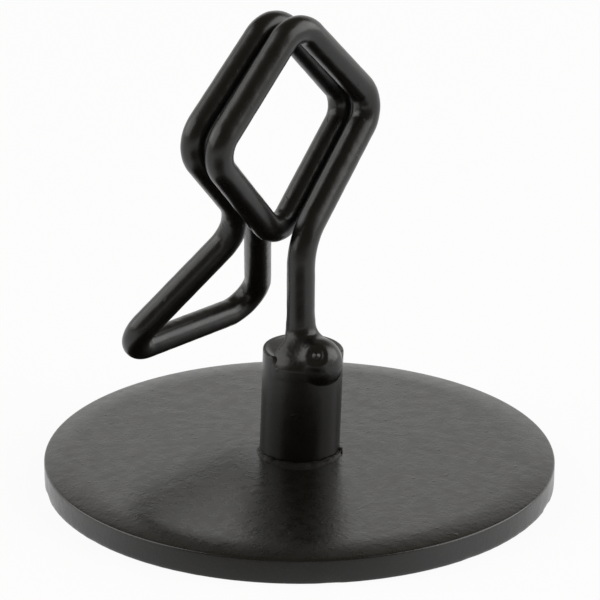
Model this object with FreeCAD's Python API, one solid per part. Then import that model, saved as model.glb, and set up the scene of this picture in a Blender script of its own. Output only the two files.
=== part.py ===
import FreeCAD, Part
import math
import os

# Menu card holder, in millimetres.
# A painted steel disc carries a short round post, and a single bent wire is welded to the post.
# The wire makes two turns of a diamond-shaped coil, and a card stands in the gap between the turns.
# Origin: centre of the disc's underside.  +Z is up, +X runs along the coil, +Y runs towards its back.

# Base disc, blanked from plate, so its top edge is rolled over by the die
base_diameter = 63.5
base_thickness = 3.5
die_roll_width = 4.5
die_roll_depth = 0.42
ridge_radius = 0.3
burr_radius = 0.15

# Post, a length of round bar that leans a little to one side
post_diameter = 10.0
post_height = 13.3
post_edge_radius = 0.2
post_lean = 1.85
lean_heading = -49.0

# Wire and the coil that it makes
wire_diameter = 3.5
card_gap = 0.6
neck_offset = 0.15
neck_height = 13.8
neck_bend = 8.0
coil_bend = 3.45
wire_edge_radius = 0.3

# Corners of the coil: distance along X from the post's axis, and height over the post's top
coil_corners = [
    (15.1, 28.2),
    (1.6, 41.1),
    (-12.4, 26.9),
    (0.3, 13.4),
    (15.2, 27.5),
    (2.0, 40.95),
    (-12.3, 27.3),
]

# Lever, the three-cornered end of the wire that slopes down behind the coil
lever_root = (-0.6, 15.1)
lever_root_share = 0.9
lever_root_bend = 7.5
lever_reach = 11.2
lever_drop = 17.25
lever_left = -12.8
lever_right = 13.9
lever_left_bend = 4.5
lever_right_bend = 3.9
lever_end = (3.8, 10.3, 13.9)

# Weld between the wire and the post: a round nugget in front and a flare up the wire
nugget_radius = 3.05
nugget_overhang = 1.15
nugget_side = -0.2
nugget_drop = 0.8
flare_height = 3.4
flare_feather = 0.06
flare_root = 0.6
flare_film = 0.06
flare_inset = 0.8
flare_shift = 1.6
flare_rings = 5
crater_heading = -139.0
crater_rise = 36.0
crater_flat = 0.45
dimple_radius = 1.3
dimple_depth = 0.35

# Weld bead round the foot of the post: how far it stands out from the post, and its groove
bead_front = 1.8
bead_back = 0.6
bead_side = 0.35
bead_height = 0.5
bead_edge_radius = 0.3
bead_heading = -139.0
groove_width = 0.1
groove_depth = 0.2
nodule_radius = 0.6
nodule_heading = -57.0

# Sizes that follow from the ones above
base_radius = base_diameter / 2
post_radius = post_diameter / 2
wire_radius = wire_diameter / 2
coil_pitch = wire_diameter + card_gap
quarter_pitch = coil_pitch / 4
post_top = base_thickness + post_height

up = FreeCAD.Vector(0, 0, 1)


def point(x, y, z):
    return FreeCAD.Vector(x, y, z)


def heading_vector(heading, rise=0.0):
    level = math.cos(math.radians(rise))
    x = level * math.cos(math.radians(heading))
    y = level * math.sin(math.radians(heading))
    return point(x, y, math.sin(math.radians(rise)))


def section_arc(centre, radius, start, finish):
    """Arc in the XZ plane, between two angles from +X."""
    places = [centre + heading_vector(0, angle) * radius for angle in (start, (start + finish) / 2, finish)]
    return Part.Arc(*places).toShape()


def make_base_disc():
    """Disc turned from its half section: a shallow roll that meets the flat smoothly, then a tight ridge."""
    roll_radius = (die_roll_width ** 2 + die_roll_depth ** 2) / (2 * die_roll_depth)
    roll_centre = point(base_radius - die_roll_width, 0, base_thickness - roll_radius)
    between = roll_radius - ridge_radius
    turn = math.degrees(math.acos((die_roll_width - ridge_radius) / between))
    ridge_centre = roll_centre + heading_vector(0, turn) * between
    shoulder = point(base_radius, 0, ridge_centre.z)
    flat = point(base_radius - die_roll_width, 0, base_thickness)
    burr_in = point(base_radius - burr_radius, 0, 0)
    burr_up = point(base_radius, 0, burr_radius)
    centre_low = point(0, 0, 0)
    centre_high = point(0, 0, base_thickness)
    outline = Part.Wire([
        Part.LineSegment(centre_low, burr_in).toShape(),
        Part.LineSegment(burr_in, burr_up).toShape(),
        Part.LineSegment(burr_up, shoulder).toShape(),
        section_arc(ridge_centre, ridge_radius, 0, turn),
        section_arc(roll_centre, roll_radius, turn, 90),
        Part.LineSegment(flat, centre_high).toShape(),
        Part.LineSegment(centre_high, centre_low).toShape(),
    ])
    return Part.Face(outline).revolve(centre_low, up, 360)


def lean(shape):
    """Tip a shape about the middle of the post's foot, towards lean_heading."""
    axis = up.cross(heading_vector(lean_heading))
    shape.rotate(point(0, 0, base_thickness), axis, post_lean)
    return shape


def leaning_cylinder(radius, start, height):
    """Cylinder on the post's axis, from a height measured up from the disc."""
    foot = point(0, 0, base_thickness + start)
    return lean(Part.makeCylinder(radius, height, foot, up))


def below_disc_top(depth):
    """Block as wide as the disc, that reaches down from its top face."""
    block = Part.makeBox(base_diameter, base_diameter, depth)
    block.translate(point(-base_radius, -base_radius, base_thickness - depth))
    return block


def make_post():
    """Round bar, rounded at its top edge and cut level where it meets the disc."""
    allowance = post_radius
    bar = Part.makeCylinder(post_radius, allowance + post_height, point(0, 0, base_thickness - allowance), up)
    top_edges = [e for e in bar.Edges if e.BoundBox.ZMin > base_thickness]
    bar = lean(bar.makeFillet(post_edge_radius, top_edges))
    return bar.cut(below_disc_top(allowance + post_radius))


def wire_route():
    """Corner points of the wire's centre line, each with the radius of its bend."""
    foot = point(neck_offset, 0, post_top - post_edge_radius)
    route = [(foot, 0.0)]
    route.append((point(neck_offset, 0, post_top + neck_height), neck_bend))
    for number, (across, height) in enumerate(coil_corners, start=1):
        corner = point(across, number * quarter_pitch, post_top + height)
        route.append((corner, coil_bend))
    last = len(coil_corners) * quarter_pitch
    root_x, root_height = lever_root
    root = point(root_x, last + lever_root_share * quarter_pitch, post_top + root_height)
    route.append((root, lever_root_bend))
    low_y = root.y + lever_reach
    low_z = root.z - lever_drop
    route.append((point(lever_left, low_y, low_z), lever_left_bend))
    route.append((point(lever_right, low_y, low_z), lever_right_bend))
    end_x, end_y, end_height = lever_end
    route.append((point(end_x, end_y, post_top + end_height), 0.0))
    return route


def rounded_path(route):
    """Straight runs joined by tangent arcs, as a list of edges."""
    edges = []
    previous = route[0][0]
    for index in range(1, len(route) - 1):
        corner, radius = route[index]
        back = (route[index - 1][0] - corner).normalize()
        ahead = (route[index + 1][0] - corner).normalize()
        half_angle = back.getAngle(ahead) / 2
        setback = radius / math.tan(half_angle)
        middle = (back + ahead).normalize()
        start = corner + back * setback
        finish = corner + ahead * setback
        crest = corner + middle * (radius / math.sin(half_angle) - radius)
        edges.append(Part.LineSegment(previous, start).toShape())
        edges.append(Part.Arc(start, crest, finish).toShape())
        previous = finish
    edges.append(Part.LineSegment(previous, route[-1][0]).toShape())
    return edges


def make_wire_clip(post):
    """One round wire swept along its route, with its free end rounded off."""
    route = wire_route()
    path = Part.Wire(rounded_path(route))
    section = Part.Wire(Part.Circle(route[0][0], up, wire_radius).toShape())
    bent = path.makePipe(Part.Face(section))
    end = route[-1][0]
    end_edges = [e for e in bent.Edges if (e.CenterOfMass - end).Length < wire_edge_radius]
    bent = bent.makeFillet(wire_edge_radius, end_edges)
    return bent.cut(post)


def make_crater(ball_centre):
    """What is taken off the nugget: a flat facet with a round dimple in its middle."""
    outward = heading_vector(crater_heading, crater_rise)
    facet = ball_centre + outward * (nugget_radius - crater_flat)
    slab = Part.makeCylinder(nugget_radius, nugget_radius, facet, outward)
    dimple_centre = facet + outward * (dimple_radius - dimple_depth)
    return slab.fuse(Part.makeSphere(dimple_radius, dimple_centre))


def make_flare():
    """Hollow-sided cone of weld metal up the wire, its foot a thin film over the post's front edge."""
    foot_radius = post_radius - flare_inset
    rings = []
    for number in range(flare_rings):
        share = number / (flare_rings - 1)
        growth = share * share
        radius = wire_radius + flare_feather + growth * (foot_radius - wire_radius)
        height = flare_height - share * (flare_height + flare_root)
        centre = point(neck_offset, -growth * flare_shift, post_top + height)
        rings.append(Part.Wire(Part.Circle(centre, up, radius).toShape()))
    flare = Part.makeLoft(rings, True, False)
    return flare.common(leaning_cylinder(post_radius + flare_film, 0, post_height + neck_height))


def make_top_weld(post, wire):
    """Nugget with its crater, and the flare that carries it up the wire."""
    from_axis = post_radius + nugget_overhang - nugget_radius
    ball_centre = point(nugget_side, -from_axis, post_top - nugget_drop)
    ball = Part.makeSphere(nugget_radius, ball_centre)
    ball = ball.cut(make_crater(ball_centre))
    return ball.fuse(make_flare()).cut(post).cut(wire).removeSplitter()


def make_foot_weld(post):
    """Low oval bead with a rounded edge, a groove at the post and one nodule."""
    half_length = post_radius + (bead_front + bead_back) / 2
    half_width = post_radius + bead_side
    middle = heading_vector(bead_heading) * (bead_front - bead_back) / 2 + point(0, 0, base_thickness)
    oval = Part.Ellipse(middle, half_length, half_width).toShape()
    oval.rotate(middle, up, bead_heading)
    bead = Part.Face(Part.Wire(oval)).extrude(up * bead_height)
    rim = [e for e in bead.Edges if e.BoundBox.ZMin > base_thickness + bead_height / 2]
    bead = bead.makeFillet(bead_edge_radius, rim)
    nodule_centre = heading_vector(nodule_heading) * post_radius + point(0, 0, base_thickness + nodule_radius / 2)
    bead = bead.fuse(Part.makeSphere(nodule_radius, nodule_centre))
    groove = leaning_cylinder(post_radius + groove_width, bead_height - groove_depth, post_height)
    return bead.cut(groove).cut(post).cut(below_disc_top(base_thickness))


def main():
    post = make_post()
    wire = make_wire_clip(post)
    parts = {
        "base_disc": make_base_disc(),
        "post": post,
        "foot_weld": make_foot_weld(post),
        "wire_clip": wire,
        "top_weld": make_top_weld(post, wire),
    }
    os.makedirs("parts", exist_ok=True)
    for name, shape in parts.items():
        shape.exportStep("parts/" + name + ".step")
        print(name, len(shape.Solids), "solid", round(shape.Volume, 2), "mm3", shape.isValid())


main()
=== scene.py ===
import math

import bpy
import numpy as np
from mathutils import Matrix, Vector, noise


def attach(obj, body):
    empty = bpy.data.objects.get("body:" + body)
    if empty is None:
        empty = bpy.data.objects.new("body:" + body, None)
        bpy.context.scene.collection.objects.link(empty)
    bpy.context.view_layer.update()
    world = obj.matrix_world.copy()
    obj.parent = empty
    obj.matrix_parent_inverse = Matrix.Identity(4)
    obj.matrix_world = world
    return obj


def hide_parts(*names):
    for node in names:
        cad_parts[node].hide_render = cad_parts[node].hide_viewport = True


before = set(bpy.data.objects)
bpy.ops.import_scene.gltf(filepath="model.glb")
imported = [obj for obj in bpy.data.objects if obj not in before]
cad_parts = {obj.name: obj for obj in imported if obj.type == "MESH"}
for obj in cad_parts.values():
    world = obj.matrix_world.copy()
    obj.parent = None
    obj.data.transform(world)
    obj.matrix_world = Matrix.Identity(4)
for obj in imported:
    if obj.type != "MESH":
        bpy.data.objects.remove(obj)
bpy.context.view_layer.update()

# Menu card holder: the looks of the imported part, its plate, post, bent wire and two welds.
# The sizes of the pieces and of their relief are in millimetres, and MM turns them into metres.  The
# camera, the floor and the lights are in metres.  X runs along the coil, Y towards its back and Z up.
# A RANGE is the value at which something starts to show and the value at which it shows in full.
# A SCALE multiplies a place before its noise is read, so a higher one gives smaller features.

MM = 0.001

# Where the photograph was taken from: turn about Z, distance, and height over the horizon
CAMERA_TURN = math.radians(49.2)
CAMERA_DISTANCE = 0.360
CAMERA_HEIGHT_ANGLE = math.radians(23.36)
CAMERA_PITCH = math.radians(19.88)
CAMERA_ROLL = math.radians(0.2)
FOCAL_PIXELS = 2873.0
IMAGE_PIXELS = 600
SENSOR = 36.0
CLIP_NEAR = 0.01
CLIP_FAR = 20

# Directions of the photograph in the part's frame
RIGHT = Vector((math.cos(CAMERA_TURN), -math.sin(CAMERA_TURN), 0))
AWAY = Vector((math.sin(CAMERA_TURN), math.cos(CAMERA_TURN), 0))
UP = Vector((0, 0, 1))

# Radius of the smallest ring in the middle of a round face
CENTRE_RADIUS = 0.02

# Plate, and how slightly its top waves
PLATE_RADIUS = 31.74
PLATE_THICKNESS = 3.5
ROLL_WIDTH = 4.5
ROLL_DEPTH = 0.42
CORNER_RADIUS = 0.3
BURR = 0.15
UNDERSIDE_RADII = (10.0, 20.0, 27.0, 30.0, 31.0)
SIDE_STEPS = 8
CORNER_STEPS = 8
ROLL_STEPS = 14
FLAT_STEPS = 24
PLATE_SIDES = 384
SAG_DEPTH = 0.012
SAG_SCALE = 0.16

# Ragged burr: how high and how far in it reaches, its grain and its nicks
BURR_HEIGHT_RANGE = (0.9, 0.0)
BURR_RADIUS_RANGE = (PLATE_RADIUS - 2, PLATE_RADIUS - BURR)
BURR_GRAIN = 0.03
BURR_GRAIN_SCALE = 4.0
NICK_SCALE = 9.0
NICK_DEPTH = 0.12
NICK_RANGE = (0.45, 0.75)
NICK_BIAS = 0.25
NICK_PLACE = Vector((3.0, 7.0, 1.0))

# Post, the faint waves of its side, and the band in which its foot is cut level
POST_RADIUS = 5.0
POST_HEIGHT = 13.3
POST_EDGE = 0.2
POST_LEAN = math.radians(1.85)
LEAN_HEADING = math.radians(-49.0)
POST_TOP = PLATE_THICKNESS + POST_HEIGHT
POST_ROWS = 60
POST_EDGE_STEPS = 10
POST_SIDES = 192
POST_WAVE = 0.0035
WAVE_SCALE = 0.35
WAVE_SCALE_UP = 0.12
POST_FOOT_BAND = 0.5

# Top of the post: its dish as shares of radius and depth, how it rises towards the back, and its recess
TOP_DISH = 0.06
DISH_PROFILE = ((0.97, 0.1), (0.94, 0.45), (0.90, 0.8), (0.86, 1.0))
DISH_FLOOR = 0.8
DISH_STEPS = 8
TOP_RISE = 0.15
TOP_SLOPE = 0.03
RISE_RANGE = (0.5, 1.0)
TOP_TILT = 0.06
TOP_RECESS = 0.10
RECESS_RANGE = (4.6, 4.0)
RECESS_BAND = 1

# Wire
WIRE_RADIUS = 1.75
QUARTER_PITCH = 1.025
NECK_OFFSET = 0.15
NECK_HEIGHT = 13.8
NECK_BEND = 8.0
COIL_BEND = 3.45
COIL_CORNERS = [
    (15.1, 28.2),
    (1.6, 41.1),
    (-12.4, 26.9),
    (0.3, 13.4),
    (15.2, 27.5),
    (2.0, 40.95),
    (-12.3, 27.3),
]
LEVER_ROOT = (-0.6, 15.1)
LEVER_ROOT_SHARE = 0.9
LEVER_ROOT_BEND = 6.0
LEVER_REACH = 11.2
LEVER_DROP = 17.25
LEVER_LEFT = (-12.8, 3.2)
LEVER_RIGHT = (13.9, 3.6)
LEVER_END = (3.8, 10.3, 13.9)

# Rings of the wire: their spacing, closer in the bends, and the points on each
RING_STEP = 0.3
BEND_FINENESS = 1.6
LEAST_BEND_STEPS = 6
RING_POINTS = 48

# Free end of the wire: how far its last rings are drawn in, and how far they are drawn back
END_INSETS = (0.05, 0.14, 0.30)
END_SETBACKS = (0.30, 0.14, 0.05, 0.0)

# Skin of the wire: a faint wave everywhere, and creases on the inside of the bends
WIRE_WAVE = 0.02
WIRE_WAVE_SCALE = 0.9
CREASE_DEPTH = 0.11
CREASE_SCALE = 2.2
CREASE_PLACE = Vector((5.0, 2.0, 9.0))
CREASE_FOCUS = 3

# Weld at the top: the nugget, flattened below its middle
NUGGET_RADIUS = 3.05
NUGGET_CENTRE = Vector((-0.2, -3.1, POST_TOP - 0.8))
NUGGET_SQUAT = 1.17

# Crater of the nugget: rings in its relief, each with its height, radius and width, on a sunk face
CRATER_HEADING = math.radians(-144.0)
CRATER_RISE = math.radians(36.0)
CRATER_RINGS = ((0.10, 1.45, 0.36), (-0.20, 0.55, 0.30), (0.12, 0.0, 0.17))
CRATER_SINK = 0.05
CRATER_SINK_RANGE = (2.6, 1.2)
CRATER_SIDE_RANGE = (0.0, 1.5)

# Flare up the wire: higher to the right, and wider over the post's front edge.  Its sides slope, so the
# shortest distance to them is about FLARE_SLOPE times the level one.
FLARE_HEIGHT = 3.4
FLARE_EXTRA = 0.4
FLARE_EXTRA_RANGE = (-1.5, 1.5)
FLARE_ROOT = 0.6
FLARE_FRONT = 5.6
FLARE_BACK = 2.6
FLARE_HOLLOW = 1.45
FLARE_HEADING = math.radians(-124.0)
FLARE_TURN = math.radians(64.0)
FLARE_FADE = math.radians(16.0)
FLARE_TUCK = 0.25
FLARE_TAPER = 0.4
FLARE_SLOPE = 0.7

# Where the post's edge has melted, the film of weld over it, and how deep the skin lies elsewhere
MELT_HEADING = math.radians(-123.0)
MELT_HALF = math.radians(63.0)
MELT_FADE = math.radians(9.0)
MELT_RADIUS = 1.4
FILM_DEPTH = 0.045
FILM_RANGE = (-3.2, -1.6)
SKIN_DEPTH = 0.03
EDGE_SINK = 0.2

# How softly the parts of the weld run into each other
FLARE_BLEND = 1.6
NUGGET_BLEND = 0.6
WIRE_BLEND = 0.6
POST_BLEND = 0.12
POST_BLEND_EXTRA = 0.2
POST_BLEND_RANGE = (-1.2, 0.8)

# Space that the weld is worked out in, and its rough skin
WELD_MIDDLE = (RIGHT * 0.4 - AWAY * 1.2) + UP * (POST_TOP + 0.2)
WELD_REACH = 6.3
WELD_LOW = (-6.4, -6.9, POST_TOP - 6.3)
WELD_HIGH = (6.8, 6.0, POST_TOP + 6.8)
WELD_STEP = 0.11
WELD_LUMPS = 0.04
WELD_LUMP_SCALE = 0.8
WELD_GRAIN = 0.012
WELD_GRAIN_SCALE = 2.6
ROUGH_HEIGHT_RANGE = (2.8, 0.8)
PROUD_SIDE_RANGE = (0.15, 0.8)
PROUD_TOP_RANGE = (-0.8, 0.2)

# Weld bead at the foot, its lumps and its grain
BEAD_FRONT = 1.8
BEAD_BACK = 0.6
BEAD_SIDE = 0.35
BEAD_HEIGHT = 0.5
BEAD_HEADING = math.radians(-139.0)
BEAD_STEPS = 16
BEAD_SIDES = 320
BEAD_TUCK = 0.15
BEAD_SINK = 0.02
BEAD_WAVE = 0.012
BEAD_LUMP_SCALE = 6.0
BEAD_GRAIN_SCALE = 1.6
BEAD_EDGE_RANGE = (0.25, 1.0)
BEAD_CROWN = 0.76
BEAD_LUMPS = 0.14
BEAD_GRAIN = 0.12

# Groove between bead and post, and the nodule on the bead
GROOVE_DEPTH = 0.20
GROOVE_OFFSET = 0.06
GROOVE_WIDTH = 0.10
NODULE_HEADING = math.radians(-57.0)
NODULE_RADIUS = 0.6
NODULE_OFFSET = 0.2
NODULE_SQUAT = 0.9

# Paint of each piece: index of refraction, roughness, and the width and depth of its orange peel
PLATE_PAINT = (1.6, 0.28, 0.5, 0.016)
POST_PAINT = (1.46, 0.30, 0.7, 0.008)
WIRE_PAINT = (1.5, 0.30, 0.6, 0.007)
WELD_PAINT = (1.5, 0.30, 0.7, 0.008)
FOOT_PAINT = (1.38, 0.50, 0.4, 0.03)

# What all the paints share: colour, changes in gloss, a wider and deeper second peel, and nibs
PAINT_DARK = (0.0040, 0.0034, 0.0024)
PAINT_LIGHT = (0.0056, 0.0049, 0.0037)
COLOUR_WIDTH = 6.0
COLOUR_DETAIL = 3
GLOSS_WIDTH = 1.6
GLOSS_DETAIL = 4
GLOSS_RANGE = (0.3, 0.7)
GLOSS_CHANGE = 0.04
PEEL_DETAIL = 1
SECOND_PEEL_WIDTH = 3.4
SECOND_PEEL_DEPTH = 1.6
SECOND_PEEL_DETAIL = 2
NIB_WIDTH = 0.8
NIB_DETAIL = 0
NIB_RANGE = (0.80, 0.86)
NIB_HEIGHT = 0.02

# Sockets of a Mix node that mixes colours
MIX_SHARE = 0
MIX_FIRST = 6
MIX_SECOND = 7
MIX_RESULT = 2

# World: the backdrop fades in towards the back and ends at a height, and a dim studio is elsewhere
BACKDROP_RANGE = (-0.25, 0.35)
BACKDROP_TOP_RANGE = (0.58, 0.44)
BACKDROP_COLOUR = (1.0, 0.998, 0.985)
STUDIO_COLOUR = (0.15, 0.135, 0.11)

# Floor, and the patch of painted shade in front of the piece that reflections show dark, until white takes
# over
FLOOR_HALF = 3.0
FLOOR_DROP = 0.00002
FLOOR_GREY = 0.9
FLOOR_GLOW = 0.93
PAINTED_SHADE_MIDDLE = AWAY * -0.095 + RIGHT * -0.012
PAINTED_SHADE_RANGE = (0.048, 0.075)
PAINTED_SHADE_COLOUR = (0.06, 0.053, 0.042)
WHITE = (1.0, 1.0, 1.0)

# Light panels: name, distance to the right, height of the middle, height of the face and its brightness
PANELS = (
    ("panel_left", -0.75, 0.50, 0.72, 2.0),
    ("panel_right", 0.75, 0.46, 0.80, 2.5),
)
PANEL_WIDTH = 1.0
PANEL_NEARER = 0.03
PANEL_TARGET = Vector((0, 0, 0.03))


def heading_vector(heading, rise=0.0):
    level = math.cos(rise)
    return Vector((level * math.cos(heading), level * math.sin(heading), math.sin(rise)))


def headings(count):
    """This many headings all round, evenly spaced, from +X on."""
    return [2 * math.pi * i / count for i in range(count)]


def smoothstep(low, high, value):
    """0 at the first value and 1 at the second, with a smooth change between them."""
    share = np.clip((value - low) / (high - low), 0.0, 1.0)
    return share * share * (3 - 2 * share)


def bell(height, middle, width, value):
    """A rounded ridge, or a groove if its height is negative."""
    return height * np.exp(-((value - middle) / width) ** 2)


def mesh_object(name, points, faces):
    """A smooth-shaded piece from points in millimetres."""
    mesh = bpy.data.meshes.new(name)
    mesh.from_pydata([p * MM for p in points], [], faces)
    mesh.validate()
    mesh.polygons.foreach_set("use_smooth", [True] * len(mesh.polygons))
    piece = bpy.data.objects.new(name, mesh)
    bpy.context.scene.collection.objects.link(piece)
    return piece


def ring_faces(ring_count, ring_size):
    """Quads between rings of points, and a cap at each end."""
    faces = []
    for ring in range(ring_count - 1):
        low = ring * ring_size
        for i in range(ring_size):
            j = (i + 1) % ring_size
            faces.append((low + i, low + j, low + ring_size + j, low + ring_size + i))
    faces.append(tuple(range(ring_size))[::-1])
    last = (ring_count - 1) * ring_size
    faces.append(tuple(range(last, last + ring_size)))
    return faces


def arc_points(centre, radius, start, finish, count):
    """Points of an arc in the plane of a profile, from one angle to another."""
    points = []
    for i in range(count + 1):
        angle = start + (finish - start) * i / count
        points.append((centre[0] + radius * math.cos(angle), centre[1] + radius * math.sin(angle)))
    return points


def plate_profile():
    """Half section of the plate: underside, burr, side, corner, roll and the flat top."""
    roll_radius = (ROLL_WIDTH ** 2 + ROLL_DEPTH ** 2) / (2 * ROLL_DEPTH)
    roll_centre = (PLATE_RADIUS - ROLL_WIDTH, PLATE_THICKNESS - roll_radius)
    corner_x = PLATE_RADIUS - CORNER_RADIUS
    across = corner_x - roll_centre[0]
    corner_z = roll_centre[1] + math.sqrt((roll_radius - CORNER_RADIUS) ** 2 - across ** 2)
    meet = math.atan2(corner_z - roll_centre[1], across)
    profile = [(r, 0.0) for r in (CENTRE_RADIUS, *UNDERSIDE_RADII, PLATE_RADIUS - BURR)]
    profile += [(PLATE_RADIUS, BURR)]
    profile += [(PLATE_RADIUS, BURR + (corner_z - BURR) * i / SIDE_STEPS) for i in range(1, SIDE_STEPS)]
    profile += arc_points((corner_x, corner_z), CORNER_RADIUS, 0.0, meet, CORNER_STEPS)
    profile += arc_points(roll_centre, roll_radius, meet, math.pi / 2, ROLL_STEPS)[1:]
    flat = PLATE_RADIUS - ROLL_WIDTH
    profile += [(flat * (1 - i / FLAT_STEPS), PLATE_THICKNESS) for i in range(1, FLAT_STEPS)]
    profile += [(CENTRE_RADIUS, PLATE_THICKNESS)]
    return profile


def ragged(heading):
    """How far the burr is torn back at a heading, in millimetres: mostly little, here and there a nick."""
    place = heading_vector(heading) * NICK_SCALE
    fine = BURR_GRAIN * (noise.noise(place * BURR_GRAIN_SCALE) + 1)
    return fine + NICK_DEPTH * smoothstep(*NICK_RANGE, noise.noise(place + NICK_PLACE) + NICK_BIAS)


def make_plate():
    """Blanked plate with its rolled top edge, its ragged burr and a barely wavy top."""
    profile = plate_profile()
    points = []
    for radius, height in profile:
        for heading in headings(PLATE_SIDES):
            torn = smoothstep(*BURR_HEIGHT_RANGE, height) * smoothstep(*BURR_RADIUS_RANGE, radius)
            out = radius - torn * ragged(heading)
            x = out * math.cos(heading)
            y = out * math.sin(heading)
            sag = 0.0
            if height > PLATE_THICKNESS - ROLL_DEPTH:
                sag = SAG_DEPTH * (1 + noise.noise(Vector((x, y, 0)) * SAG_SCALE))
            points.append(Vector((x, y, height - sag)))
    return mesh_object("plate", points, ring_faces(len(profile), PLATE_SIDES))


def lean_matrix():
    foot = Matrix.Translation(UP * PLATE_THICKNESS)
    axis = UP.cross(heading_vector(LEAN_HEADING))
    return foot @ Matrix.Rotation(POST_LEAN, 4, axis) @ foot.inverted()


def melted(heading):
    """How far the post's edge has melted into the weld at a heading, from 0 to 1."""
    least = math.cos(MELT_HALF + MELT_FADE)
    most = math.cos(MELT_HALF - MELT_FADE)
    return smoothstep(least, most, np.cos(heading - MELT_HEADING))


def post_profile(edge):
    """Half section of the post, with an edge of this radius round its dished top."""
    shoulder = POST_HEIGHT - edge
    flat = POST_RADIUS - edge
    profile = [(POST_RADIUS, shoulder * i / POST_ROWS) for i in range(POST_ROWS)]
    profile += arc_points((flat, shoulder), edge, 0.0, math.pi / 2, POST_EDGE_STEPS)
    profile += [(flat * share, POST_HEIGHT - TOP_DISH * depth) for share, depth in DISH_PROFILE]
    floor = POST_HEIGHT - TOP_DISH
    profile += [(flat * DISH_FLOOR * (1 - i / DISH_STEPS), floor) for i in range(DISH_STEPS)]
    profile += [(CENTRE_RADIUS, floor)]
    return profile


def make_post():
    """Round bar, its top slightly dished and its front edge melted away under the weld."""
    lean = lean_matrix()
    axis = lean.to_3x3() @ UP
    foot = UP * PLATE_THICKNESS
    turns = headings(POST_SIDES)
    columns = [post_profile(POST_EDGE + melted(heading) * (MELT_RADIUS - POST_EDGE)) for heading in turns]
    points = []
    for row in zip(*columns):
        for heading, (radius, height) in zip(turns, row):
            level = Vector((radius * math.cos(heading), radius * math.sin(heading), 0))
            wave = noise.noise(Vector((level.x * WAVE_SCALE, level.y * WAVE_SCALE, height * WAVE_SCALE_UP)))
            level *= 1 - POST_WAVE * (1 + wave)
            depth = level.dot(AWAY)
            if height > POST_HEIGHT - RECESS_BAND:
                height += smoothstep(*RECESS_RANGE, radius) * (TOP_TILT * depth - TOP_RECESS)
            height += smoothstep(*RISE_RANGE, height / POST_HEIGHT) * (TOP_RISE + TOP_SLOPE * depth)
            place = lean @ (foot + level + UP * height)
            if height < POST_FOOT_BAND:
                place -= axis * ((place.z - PLATE_THICKNESS) / axis.z) * (1 - height / POST_FOOT_BAND)
            points.append(place)
    return mesh_object("post_bar", points, ring_faces(len(columns[0]), POST_SIDES))


def wire_route():
    """Corner points of the wire, each with the radius of its bend."""
    route = [(Vector((NECK_OFFSET, 0, POST_TOP - POST_EDGE)), 0.0)]
    route.append((Vector((NECK_OFFSET, 0, POST_TOP + NECK_HEIGHT)), NECK_BEND))
    for number, (across, height) in enumerate(COIL_CORNERS, start=1):
        route.append((Vector((across, number * QUARTER_PITCH, POST_TOP + height)), COIL_BEND))
    last = len(COIL_CORNERS) * QUARTER_PITCH
    root = Vector((LEVER_ROOT[0], last + LEVER_ROOT_SHARE * QUARTER_PITCH, POST_TOP + LEVER_ROOT[1]))
    route.append((root, LEVER_ROOT_BEND))
    for across, radius in (LEVER_LEFT, LEVER_RIGHT):
        route.append((Vector((across, root.y + LEVER_REACH, root.z - LEVER_DROP)), radius))
    route.append((Vector((LEVER_END[0], LEVER_END[1], POST_TOP + LEVER_END[2])), 0.0))
    return route


def straight_places(start, finish):
    steps = max(1, round((finish - start).length / RING_STEP))
    return [(start.lerp(finish, i / steps), 0.0, None) for i in range(steps)]


def centre_line():
    """Places along the wire, each with how far it is into a bend and where that bend's centre lies."""
    route = wire_route()
    line = []
    previous = route[0][0]
    for index in range(1, len(route) - 1):
        corner, radius = route[index]
        back = (route[index - 1][0] - corner).normalized()
        ahead = (route[index + 1][0] - corner).normalized()
        half_angle = back.angle(ahead) / 2
        start = corner + back * (radius / math.tan(half_angle))
        centre = corner + (back + ahead).normalized() * (radius / math.sin(half_angle))
        line += straight_places(previous, start)
        turn = math.pi - 2 * half_angle
        axis = back.cross(start - centre).normalized()
        steps = max(LEAST_BEND_STEPS, round(radius * turn / RING_STEP * BEND_FINENESS))
        for i in range(steps):
            share = i / steps
            place = centre + Matrix.Rotation(turn * share, 3, axis) @ (start - centre)
            line.append((place, math.sin(math.pi * share), centre))
        previous = centre + Matrix.Rotation(turn, 3, axis) @ (start - centre)
    line += straight_places(previous, route[-1][0])
    line.append((route[-1][0], 0.0, None))
    return line


def ring_directions(side, other):
    """Directions from the wire's centre to the points of a ring."""
    return [side * math.cos(angle) + other * math.sin(angle) for angle in headings(RING_POINTS)]


def make_wire():
    """The bent wire: one tube, creased on the inside of its bends and rounded at its free end."""
    line = centre_line()
    places = [place for place, _, _ in line]
    tangents = []
    for i in range(len(places)):
        tangents.append((places[min(i + 1, len(places) - 1)] - places[max(i - 1, 0)]).normalized())
    side = tangents[0].orthogonal().normalized()
    points = []
    for i, (place, bend, centre) in enumerate(line):
        if i > 0:
            side = tangents[i - 1].rotation_difference(tangents[i]) @ side
        side = (side - tangents[i] * side.dot(tangents[i])).normalized()
        other = tangents[i].cross(side)
        inward = (centre - place).normalized() if centre else None
        for out in ring_directions(side, other):
            spot = place + out * WIRE_RADIUS
            radius = WIRE_RADIUS - WIRE_WAVE * (1 + noise.noise(spot * WIRE_WAVE_SCALE))
            if inward:
                inside = max(0.0, out.dot(inward))
                crease = 0.5 + 0.5 * noise.noise(spot * CREASE_SCALE + CREASE_PLACE)
                radius -= CREASE_DEPTH * bend * inside ** CREASE_FOCUS * crease
            points.append(place + out * radius)
    for inset in END_INSETS:
        points += [places[-1] + out * (WIRE_RADIUS - inset) for out in ring_directions(side, other)]
    draw_back(points, tangents[-1])
    return mesh_object("bent_wire", points, ring_faces(len(line) + len(END_INSETS), RING_POINTS))


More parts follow.
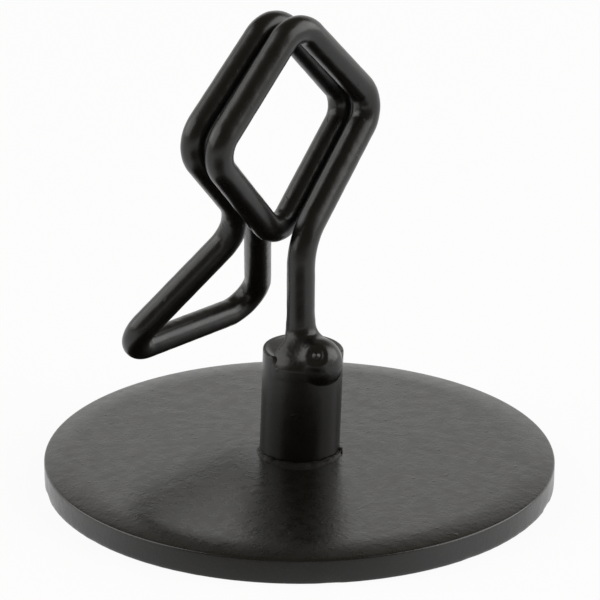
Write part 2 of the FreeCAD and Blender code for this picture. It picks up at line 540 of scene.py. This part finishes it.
def draw_back(points, direction):
    """Moves the last rings back along the wire, so that its cut end has a rounded edge."""
    first = len(points) - len(END_SETBACKS) * RING_POINTS
    for ring, setback in enumerate(END_SETBACKS):
        for k in range(RING_POINTS):
            points[first + ring * RING_POINTS + k] -= direction * setback


def smooth_min(first, second, blend):
    """The lesser of two distances, with the corner between them filled over this length."""
    share = np.clip(0.5 + 0.5 * (second - first) / blend, 0.0, 1.0)
    return second * (1 - share) + first * share - blend * share * (1 - share)


def smooth_max(first, second, blend):
    return -smooth_min(-first, -second, blend)


def nugget_distance(x, y, z):
    """Distance from the nugget, with a ringed crater that has a nub in its middle."""
    axis = heading_vector(CRATER_HEADING, CRATER_RISE)
    x = x - NUGGET_CENTRE.x
    y = y - NUGGET_CENTRE.y
    z = z - NUGGET_CENTRE.z
    out = np.sqrt(x * x + y * y + z * z)
    along = x * axis.x + y * axis.y + z * axis.z
    away = np.sqrt(np.maximum(out * out - along * along, 0.0))
    relief = sum(bell(height, radius, width, away) for height, radius, width in CRATER_RINGS)
    relief -= CRATER_SINK * smoothstep(*CRATER_SINK_RANGE, away)
    squat = np.cbrt(np.hypot(x, y) ** 3 + np.abs(z * NUGGET_SQUAT) ** 3)
    return np.where(z < 0, squat, out) - NUGGET_RADIUS - relief * smoothstep(*CRATER_SIDE_RANGE, along)


def flare_distance(x, y, above):
    """Distance from the cone that runs up the wire: wide over the post's front edge, narrow at the back."""
    turn = np.cos(np.arctan2(y, x - NECK_OFFSET) - FLARE_HEADING)
    front = smoothstep(math.cos(FLARE_TURN + FLARE_FADE), math.cos(FLARE_TURN), turn)
    foot = FLARE_BACK + front * (FLARE_FRONT - FLARE_BACK)
    top = FLARE_HEIGHT + FLARE_EXTRA * smoothstep(*FLARE_EXTRA_RANGE, x * RIGHT.x + y * RIGHT.y)
    growth = np.clip((top - above) / (top + FLARE_ROOT), 0.0, 1.0) ** FLARE_HOLLOW
    radius = WIRE_RADIUS - FLARE_TUCK + growth * (foot - WIRE_RADIUS + FLARE_TUCK)
    radius = radius - FLARE_TAPER * np.maximum(above - top, 0.0)
    return FLARE_SLOPE * (np.hypot(x - NECK_OFFSET, y) - radius)


def weld_distance(x, y, z):
    """Distance from the weld's skin: it lies just under the clean metal and comes out where it has run."""
    back = lean_matrix().inverted()
    across, depth, height = [back[i][0] * x + back[i][1] * y + back[i][2] * z + back[i][3] for i in range(3)]
    height = height - PLATE_THICKNESS
    radial = np.hypot(across, depth)
    share = melted(np.arctan2(depth, across))
    above = z - POST_TOP
    film = FILM_DEPTH * share * smoothstep(*FILM_RANGE, above) - SKIN_DEPTH
    edge = POST_EDGE + share * (MELT_RADIUS - POST_EDGE)
    out = radial - (POST_RADIUS + film - edge)
    over = height - (POST_HEIGHT + film - EDGE_SINK * (1 - share) - edge)
    post = np.hypot(np.maximum(out, 0), np.maximum(over, 0)) + np.minimum(np.maximum(out, over), 0) - edge
    wire = np.hypot(x - NECK_OFFSET, y) - (WIRE_RADIUS - SKIN_DEPTH)
    flare = smooth_max(flare_distance(x, y, above), radial - (POST_RADIUS + film), FLARE_BLEND)
    body = smooth_min(flare, nugget_distance(x, y, z), NUGGET_BLEND)
    body = smooth_min(body, wire, WIRE_BLEND)
    body = smooth_min(body, post, POST_BLEND + POST_BLEND_EXTRA * smoothstep(*POST_BLEND_RANGE, above))
    middle = WELD_MIDDLE
    reach = np.sqrt((x - middle.x) ** 2 + (y - middle.y) ** 2 + (z - middle.z) ** 2) - WELD_REACH
    return np.maximum(body, reach)


def field_skin(name, distance, low, high, step):
    """A piece whose skin lies where a distance is zero, with a point in each cell that the skin crosses."""
    axes = [np.arange(a, b + step, step) for a, b in zip(low, high)]
    values = distance(*np.meshgrid(*axes, indexing="ij"))
    inside = values < 0
    cells = [n - 1 for n in values.shape]
    corners = [(i, j, k) for i in (0, 1) for j in (0, 1) for k in (0, 1)]
    total = np.zeros((*cells, 3))
    count = np.zeros(cells)
    for start in corners:
        for axis in range(3):
            if start[axis]:
                continue
            finish = tuple(1 if n == axis else s for n, s in enumerate(start))
            first = values[tuple(slice(s, s + c) for s, c in zip(start, cells))]
            second = values[tuple(slice(f, f + c) for f, c in zip(finish, cells))]
            crossed = (first < 0) != (second < 0)
            share = np.where(crossed, first / np.where(crossed, first - second, 1.0), 0.0)
            count += crossed
            for n in range(3):
                total[..., n] += crossed * (start[n] + (share if n == axis else 0.0))
    held = count > 0
    index = np.full(cells, -1)
    index[held] = np.arange(held.sum())
    origin = np.array(low) + step * np.argwhere(held)
    places = origin + step * total[held] / count[held][:, None]
    faces = []
    for axis in range(3):
        one, two = [n for n in range(3) if n != axis]
        near = np.take(inside, range(cells[axis]), axis)
        far = np.take(inside, range(1, cells[axis] + 1), axis)
        spots = np.argwhere(near != far)
        for n in (one, two):
            spots = spots[(spots[:, n] > 0) & (spots[:, n] < cells[n])]
        ring = []
        for a, b in ((1, 1), (0, 1), (0, 0), (1, 0)):
            cell = spots.copy()
            cell[:, one] -= a
            cell[:, two] -= b
            ring.append(index[tuple(cell.T)])
        quads = np.stack(ring, axis=1)
        # Seen along Y, X and Z run the other way round
        turned = near[tuple(spots.T)] == (axis == 1)
        quads[turned] = quads[turned][:, ::-1]
        faces.append(quads)
    return mesh_object(name, [Vector(place) for place in places], np.concatenate(faces).tolist())


def make_top_weld():
    """Weld between wire and post, one skin: the flare up the wire, its flank and the cratered nugget."""
    piece = field_skin("top_nugget", weld_distance, WELD_LOW, WELD_HIGH, WELD_STEP)
    mesh = piece.data
    skin = [(vertex.co / MM, vertex.normal.copy()) for vertex in mesh.vertices]
    moved = []
    for spot, normal in skin:
        above = spot.z - POST_TOP
        rough = WELD_LUMPS * noise.noise(spot * WELD_LUMP_SCALE)
        rough += WELD_GRAIN * noise.noise(spot * WELD_GRAIN_SCALE)
        proud = smoothstep(*PROUD_SIDE_RANGE, math.hypot(spot.x, spot.y) - POST_RADIUS)
        proud += smoothstep(*PROUD_TOP_RANGE, above)
        moved.extend((spot + normal * rough * smoothstep(*ROUGH_HEIGHT_RANGE, above) * min(proud, 1.0)) * MM)
    mesh.vertices.foreach_set("co", moved)
    mesh.update()
    return piece


def bead_reach(heading):
    """Distance of the foot bead's outer edge from the post's axis, at a heading."""
    half_length = POST_RADIUS + (BEAD_FRONT + BEAD_BACK) / 2
    half_width = POST_RADIUS + BEAD_SIDE
    offset = (BEAD_FRONT - BEAD_BACK) / 2
    c = math.cos(heading - BEAD_HEADING)
    s = math.sin(heading - BEAD_HEADING)
    a = (c / half_length) ** 2 + (s / half_width) ** 2
    b = -2 * offset * c / half_length ** 2
    k = (offset / half_length) ** 2 - 1
    return (-b + math.sqrt(b * b - 4 * a * k)) / (2 * a)


def make_foot_weld():
    """Bead round the post's foot: uneven, grooved at the post, with a nodule to the right."""
    nodule = heading_vector(NODULE_HEADING) * (POST_RADIUS + NODULE_OFFSET)
    inner = POST_RADIUS - BEAD_TUCK
    points = []
    for step in range(BEAD_STEPS, -1, -1):
        share = step / BEAD_STEPS
        for heading in headings(BEAD_SIDES):
            direction = heading_vector(heading)
            lump = noise.noise(direction * BEAD_LUMP_SCALE)
            outer = bead_reach(heading) * (1 + BEAD_WAVE * lump)
            distance = inner + (outer - inner) * share
            groove = bell(GROOVE_DEPTH, GROOVE_OFFSET, GROOVE_WIDTH, distance - POST_RADIUS)
            grain = noise.noise(direction * distance * BEAD_GRAIN_SCALE)
            crown = BEAD_HEIGHT * (1 - smoothstep(*BEAD_EDGE_RANGE, share))
            crown *= BEAD_CROWN + BEAD_LUMPS * lump + BEAD_GRAIN * grain
            place = direction * distance
            gap = (place - nodule).length
            bump = math.sqrt(max(0.0, NODULE_RADIUS ** 2 - gap ** 2)) * NODULE_SQUAT
            height = max(crown - groove, bump)
            points.append(place + UP * (PLATE_THICKNESS - BEAD_SINK + height))
    return mesh_object("foot_bead", points, ring_faces(BEAD_STEPS + 1, BEAD_SIDES))


def node(tree, kind, **settings):
    made = tree.nodes.new(kind)
    for name, value in settings.items():
        setattr(made, name, value)
    return made


def noise_texture(tree, coordinates, width, detail):
    """Noise whose features are about this many millimetres wide."""
    texture = node(tree, "ShaderNodeTexNoise")
    texture.inputs["Scale"].default_value = 1 / (width * MM)
    texture.inputs["Detail"].default_value = detail
    tree.links.new(coordinates, texture.inputs["Vector"])
    return texture.outputs["Fac"]


def spread(tree, value, low, high, to_low=0.0, to_high=1.0):
    """Maps a value from one range to another, without going past its ends."""
    ramp = node(tree, "ShaderNodeMapRange")
    ramp.inputs["From Min"].default_value = low
    ramp.inputs["From Max"].default_value = high
    ramp.inputs["To Min"].default_value = to_low
    ramp.inputs["To Max"].default_value = to_high
    tree.links.new(value, ramp.inputs["Value"])
    return ramp.outputs["Result"]


def add_bump(tree, height, depth, before=None):
    """Relief of this many millimetres between the lowest and highest height."""
    bump = node(tree, "ShaderNodeBump")
    bump.inputs["Strength"].default_value = 1.0
    bump.inputs["Distance"].default_value = depth * MM
    tree.links.new(height, bump.inputs["Height"])
    if before:
        tree.links.new(before, bump.inputs["Normal"])
    return bump.outputs["Normal"]


def mix_colours(tree, share, first, second):
    mixed = node(tree, "ShaderNodeMix", data_type="RGBA")
    tree.links.new(share, mixed.inputs[MIX_SHARE])
    mixed.inputs[MIX_FIRST].default_value = (*first, 1)
    mixed.inputs[MIX_SECOND].default_value = (*second, 1)
    return mixed.outputs[MIX_RESULT]


def black_paint(name, index, roughness, peel, depth):
    """Satin black paint: a warm near-black that varies a little, with an orange peel and a few nibs."""
    material = bpy.data.materials.new(name)
    material.use_nodes = True
    tree = material.node_tree
    shader = tree.nodes["Principled BSDF"]
    shader.inputs["IOR"].default_value = index
    coordinates = node(tree, "ShaderNodeTexCoord").outputs["Object"]
    broad = noise_texture(tree, coordinates, COLOUR_WIDTH, COLOUR_DETAIL)
    tree.links.new(mix_colours(tree, broad, PAINT_DARK, PAINT_LIGHT), shader.inputs["Base Color"])
    gloss = noise_texture(tree, coordinates, GLOSS_WIDTH, GLOSS_DETAIL)
    rough = spread(tree, gloss, *GLOSS_RANGE, roughness - GLOSS_CHANGE, roughness + GLOSS_CHANGE)
    tree.links.new(rough, shader.inputs["Roughness"])
    normal = add_bump(tree, noise_texture(tree, coordinates, peel, PEEL_DETAIL), depth)
    second = noise_texture(tree, coordinates, peel * SECOND_PEEL_WIDTH, SECOND_PEEL_DETAIL)
    normal = add_bump(tree, second, depth * SECOND_PEEL_DEPTH, normal)
    nibs = spread(tree, noise_texture(tree, coordinates, NIB_WIDTH, NIB_DETAIL), *NIB_RANGE)
    normal = add_bump(tree, nibs, NIB_HEIGHT, normal)
    tree.links.new(normal, shader.inputs["Normal"])
    return material


def directional(tree, coordinates, direction):
    """How far a direction or place lies along another."""
    product = node(tree, "ShaderNodeVectorMath", operation="DOT_PRODUCT")
    tree.links.new(coordinates, product.inputs[0])
    product.inputs[1].default_value = direction
    return product.outputs["Value"]


def combine(tree, operation, first, second):
    made = node(tree, "ShaderNodeMath", operation=operation)
    for socket, value in zip(made.inputs, (first, second)):
        if isinstance(value, float):
            socket.default_value = value
        else:
            tree.links.new(value, socket)
    return made.outputs[0]


def make_world():
    """White to the camera.  Reflections show a white backdrop behind, and a dim warm studio elsewhere."""
    world = bpy.data.worlds.new("studio")
    bpy.context.scene.world = world
    world.use_nodes = True
    tree = world.node_tree
    background = tree.nodes["Background"]
    coordinates = node(tree, "ShaderNodeTexCoord").outputs["Generated"]
    behind = spread(tree, directional(tree, coordinates, AWAY), *BACKDROP_RANGE)
    low = spread(tree, directional(tree, coordinates, UP), *BACKDROP_TOP_RANGE)
    backdrop = combine(tree, "MULTIPLY", behind, low)
    path = node(tree, "ShaderNodeLightPath")
    white = combine(tree, "MAXIMUM", backdrop, path.outputs["Is Camera Ray"])
    colour = mix_colours(tree, white, STUDIO_COLOUR, BACKDROP_COLOUR)
    tree.links.new(colour, background.inputs["Color"])
    background.inputs["Strength"].default_value = 1.0


def make_floor():
    """Pale floor, white to the camera but for a soft shadow.  Reflections show a patch of painted shade in
    front of the piece.
    """
    mesh = bpy.data.meshes.new("floor")
    corners = [(-FLOOR_HALF, -FLOOR_HALF, 0), (FLOOR_HALF, -FLOOR_HALF, 0)]
    corners += [(FLOOR_HALF, FLOOR_HALF, 0), (-FLOOR_HALF, FLOOR_HALF, 0)]
    mesh.from_pydata([Vector(c) - UP * FLOOR_DROP for c in corners], [], [(0, 1, 2, 3)])
    floor = bpy.data.objects.new("floor", mesh)
    bpy.context.scene.collection.objects.link(floor)
    material = bpy.data.materials.new("pale_floor")
    material.use_nodes = True
    tree = material.node_tree
    output = tree.nodes["Material Output"]
    tree.nodes.remove(tree.nodes["Principled BSDF"])
    diffuse = node(tree, "ShaderNodeBsdfDiffuse")
    diffuse.inputs["Color"].default_value = (FLOOR_GREY, FLOOR_GREY, FLOOR_GREY, 1)
    glow = node(tree, "ShaderNodeEmission")
    path = node(tree, "ShaderNodeLightPath")
    coordinates = node(tree, "ShaderNodeTexCoord").outputs["Object"]
    # Painted shade: to reflections only, the floor in front of the piece is drawn dark, standing in for the
    # piece's shadow and the dimmer floor on the camera's side
    distance = node(tree, "ShaderNodeVectorMath", operation="DISTANCE")
    tree.links.new(coordinates, distance.inputs[0])
    distance.inputs[1].default_value = PAINTED_SHADE_MIDDLE
    beyond_painted_shade = spread(tree, distance.outputs["Value"], *PAINTED_SHADE_RANGE)
    white = combine(tree, "MAXIMUM", beyond_painted_shade, path.outputs["Is Camera Ray"])
    tree.links.new(mix_colours(tree, white, PAINTED_SHADE_COLOUR, WHITE), glow.inputs["Color"])
    seen = combine(tree, "ADD", path.outputs["Is Camera Ray"], path.outputs["Is Glossy Ray"])
    seen = combine(tree, "ADD", seen, path.outputs["Is Transmission Ray"])
    mixed = node(tree, "ShaderNodeMixShader")
    tree.links.new(combine(tree, "MULTIPLY", seen, FLOOR_GLOW), mixed.inputs[0])
    tree.links.new(diffuse.outputs[0], mixed.inputs[1])
    tree.links.new(glow.outputs[0], mixed.inputs[2])
    tree.links.new(mixed.outputs[0], output.inputs["Surface"])
    floor.data.materials.append(material)


def softbox(name, place, height, brightness):
    """Area lamp that faces the object, given the brightness of its face."""
    lamp = bpy.data.lights.new(name, "AREA")
    lamp.shape = "RECTANGLE"
    lamp.size = PANEL_WIDTH
    lamp.size_y = height
    lamp.energy = brightness * math.pi * PANEL_WIDTH * height
    holder = bpy.data.objects.new(name, lamp)
    holder.location = place
    holder.rotation_euler = (PANEL_TARGET - place).to_track_quat("-Z", "Y").to_euler()
    bpy.context.scene.collection.objects.link(holder)


def make_lights():
    """Two white panels, one on each side of the piece, the right one larger, lower and brighter."""
    for name, across, middle, height, brightness in PANELS:
        softbox(name, RIGHT * across - AWAY * PANEL_NEARER + UP * middle, height, brightness)


def make_camera():
    level = CAMERA_DISTANCE * math.cos(CAMERA_HEIGHT_ANGLE)
    place = UP * (CAMERA_DISTANCE * math.sin(CAMERA_HEIGHT_ANGLE)) - AWAY * level
    forward = AWAY * math.cos(CAMERA_PITCH) - UP * math.sin(CAMERA_PITCH)
    up = RIGHT.cross(forward)
    right = RIGHT * math.cos(CAMERA_ROLL) + up * math.sin(CAMERA_ROLL)
    up = right.cross(forward)
    lens = bpy.data.cameras.new("camera")
    lens.sensor_width = SENSOR
    lens.lens = FOCAL_PIXELS / IMAGE_PIXELS * SENSOR
    lens.clip_start = CLIP_NEAR
    lens.clip_end = CLIP_FAR
    camera = bpy.data.objects.new("camera", lens)
    turn = Matrix((right, up, -forward)).transposed()
    camera.matrix_world = Matrix.Translation(place) @ turn.to_4x4()
    bpy.context.scene.collection.objects.link(camera)
    bpy.context.scene.camera = camera


def dress(piece, node_name, material):
    """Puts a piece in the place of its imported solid, with its paint."""
    piece.data.materials.append(material)
    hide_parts(node_name)
    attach(piece, "root")


def main():
    bpy.context.scene.view_settings.view_transform = "Standard"
    make_camera()
    make_world()
    make_floor()
    make_lights()
    dress(make_plate(), "base_disc", black_paint("plate_paint", *PLATE_PAINT))
    dress(make_post(), "post", black_paint("post_paint", *POST_PAINT))
    dress(make_wire(), "wire_clip", black_paint("wire_paint", *WIRE_PAINT))
    dress(make_top_weld(), "top_weld", black_paint("weld_paint", *WELD_PAINT))
    dress(make_foot_weld(), "foot_weld", black_paint("foot_paint", *FOOT_PAINT))


main()
